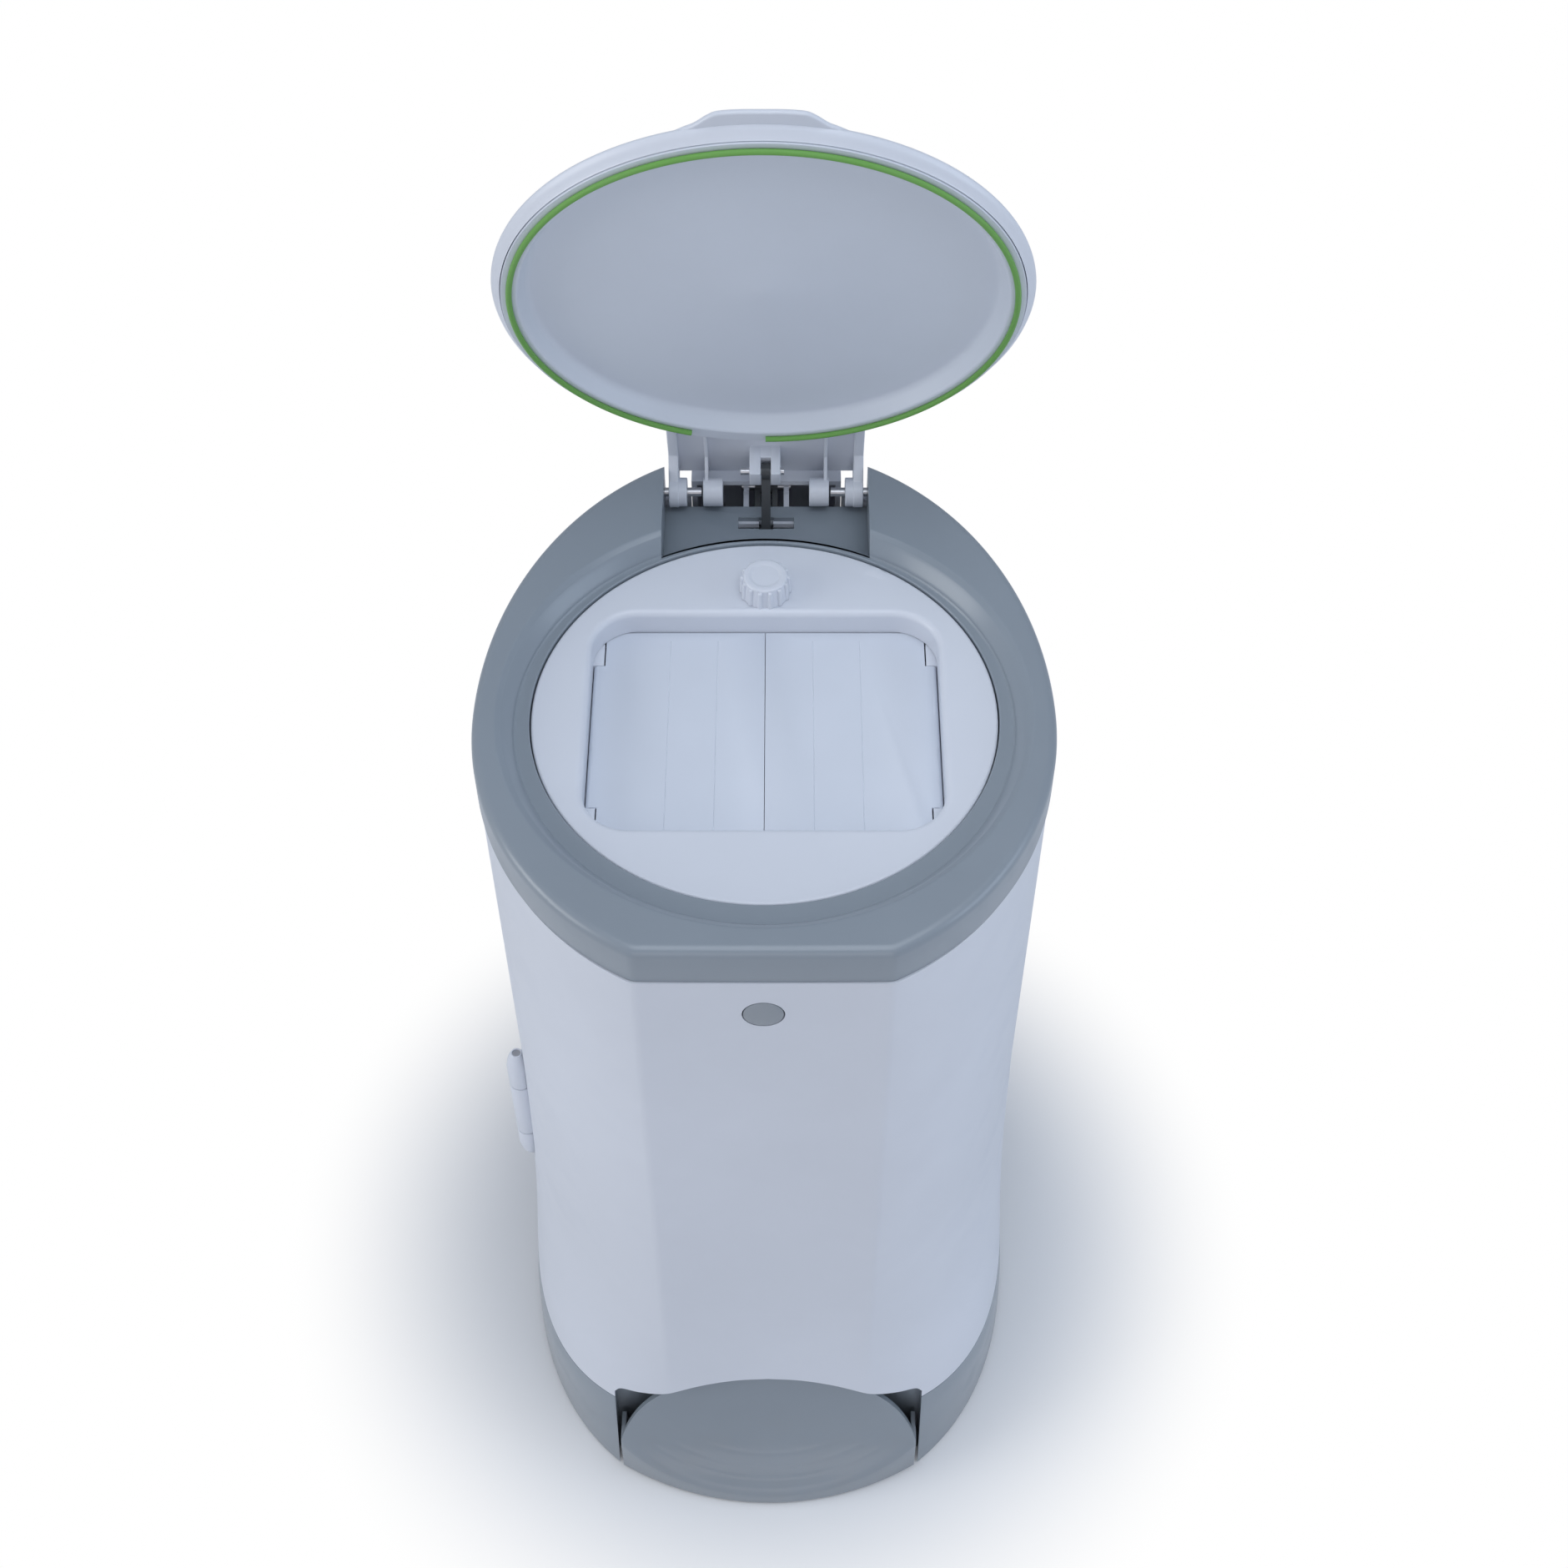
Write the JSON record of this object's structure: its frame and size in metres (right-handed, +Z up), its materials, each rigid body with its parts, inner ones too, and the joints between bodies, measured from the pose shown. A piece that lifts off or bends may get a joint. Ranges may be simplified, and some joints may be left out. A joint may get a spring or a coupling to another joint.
{
  "type": "nappy bin",
  "caption": "Tall pedal nappy bin with a sealed round lid held open, a recessed plate with drop flaps, a grey collar and base, and a front door.",
  "frame": {"origin": "on the floor, under the middle of the object's box", "axes": "+Z up, +Y to the back where the lid hinges, +X to the right seen from the front"},
  "size_m": [0.3198, 0.3962, 0.8701],
  "materials": {
    "white_plastic": "smooth satin-gloss white",
    "lid_liner": "smooth pale blue-white",
    "grey_plastic": "satin blue-grey",
    "button_plastic": "satin grey",
    "dark_plastic": "satin near-black",
    "steel": "plain bright",
    "spring_steel": "plain",
    "seal": "soft green",
    "rubber": "black"
  },
  "bodies": {
    "bin": {"body_shell": "white_plastic", "chamber_wall": "white_plastic", "chamber_floor": "grey_plastic", "rear_cover": "white_plastic", "cover_screws": "steel", "collar": "grey_plastic", "hinge_bracket": "steel", "bracket_screws": "steel", "hinge_pin_left": "steel", "hinge_pin_right": "steel", "rocker_pin": "steel", "latch_keeper": "steel", "bag_ring": "grey_plastic", "base": "grey_plastic", "base_plate": "dark_plastic", "base_posts": "grey_plastic", "base_screws": "steel", "rubber_feet": "rubber", "bearing_left": "dark_plastic", "bearing_right": "dark_plastic", "door_hinge_pin": "steel", "trap_plate": "white_plastic", "trap_pin_left": "steel", "trap_pin_right": "steel", "trap_spring_left": "spring_steel", "trap_spring_right": "spring_steel"},
    "flap_left": {"trap_flap_left": "white_plastic"},
    "flap_right": {"trap_flap_right": "white_plastic"},
    "plate_knob": {"knob": "white_plastic", "knob_cam": "dark_plastic", "knob_screw": "steel"},
    "lid": {"lid_shell": "white_plastic", "lid_panel": "lid_liner", "lid_seal": "seal", "clevis_pin": "steel"},
    "strap": {"lift_link": "dark_plastic"},
    "rocker_arm": {"rocker": "dark_plastic", "rocker_end_pin": "steel"},
    "lift_rod": {"push_rod": "steel"},
    "foot_pedal": {"pedal": "grey_plastic", "pedal_lever": "dark_plastic", "pedal_axle": "steel", "lever_pin": "steel", "pedal_screws": "steel", "pedal_spring": "spring_steel"},
    "door": {"door_panel": "white_plastic", "latch_housing": "dark_plastic", "button_spring": "spring_steel"},
    "button": {"door_button": "button_plastic"},
    "latch": {"latch_tongue": "steel"}
  },
  "joints": [
    {"name": "lid_hinge", "type": "hinge", "parent": "bin", "child": "lid", "pos_m": [0, 0.164, 0.5665], "axis": [1, 0, 0], "range_deg": [0, 73.8]},
    {"name": "strap_pivot", "type": "hinge", "parent": "lid", "child": "strap", "pos_m": [0, 0.1621, 0.5844], "axis": [1, 0, 0], "range_deg": [-39, 0]},
    {"name": "rocker_pivot", "type": "hinge", "parent": "bin", "child": "rocker_arm", "pos_m": [0, 0.18, 0.5555], "axis": [1, 0, 0], "range_deg": [0, 30.6]},
    {"name": "rod_pivot", "type": "hinge", "parent": "rocker_arm", "child": "lift_rod", "pos_m": [0, 0.1384, 0.5295], "axis": [1, 0, 0], "range_deg": [-32.6, 0]},
    {"name": "pedal_swing", "type": "hinge", "parent": "bin", "child": "foot_pedal", "pos_m": [0, -0.02, 0.04], "axis": [1, 0, 0], "range_deg": [-6.6, 0]},
    {"name": "flap_left_drop", "type": "hinge", "parent": "bin", "child": "flap_left", "pos_m": [-0.0883, 0, 0.5522], "axis": [0, 1, 0], "range_deg": [0, 80], "stiffness_Nm_per_rad": 0.05, "springref_deg": -34.38},
    {"name": "flap_right_drop", "type": "hinge", "parent": "bin", "child": "flap_right", "pos_m": [0.0883, 0, 0.5522], "axis": [0, -1, 0], "range_deg": [0, 80], "stiffness_Nm_per_rad": 0.05, "springref_deg": -34.38},
    {"name": "knob_turn", "type": "hinge", "parent": "bin", "child": "plate_knob", "pos_m": [0, 0.086, 0.57], "axis": [0, 0, 1], "range_deg": [0, 90]},
    {"name": "door_swing", "type": "hinge", "parent": "bin", "child": "door", "pos_m": [-0.1495, -0.036, 0.3], "axis": [0, 0, -1], "range_deg": [0, 105]},
    {"name": "button_press", "type": "slide", "parent": "door", "child": "button", "axis": [0, 1, 0], "range_m": [0, 0.003], "stiffness_N_per_m": 300, "springref_m": -0.004},
    {"name": "latch_slide", "type": "slide", "parent": "door", "child": "latch", "axis": [0, 0, -1], "range_m": [0, 0.0042]}
  ],
  "couplings": [
    {"joint": "strap_pivot", "follows": "lid_hinge", "ratio": -0.5253},
    {"joint": "rocker_pivot", "follows": "lid_hinge", "ratio": 0.4115},
    {"joint": "rod_pivot", "follows": "lid_hinge", "ratio": -0.4392},
    {"joint": "pedal_swing", "follows": "lid_hinge", "ratio": -0.0885},
    {"joint": "latch_slide", "follows": "button_press", "ratio": 1.3333}
  ]
}
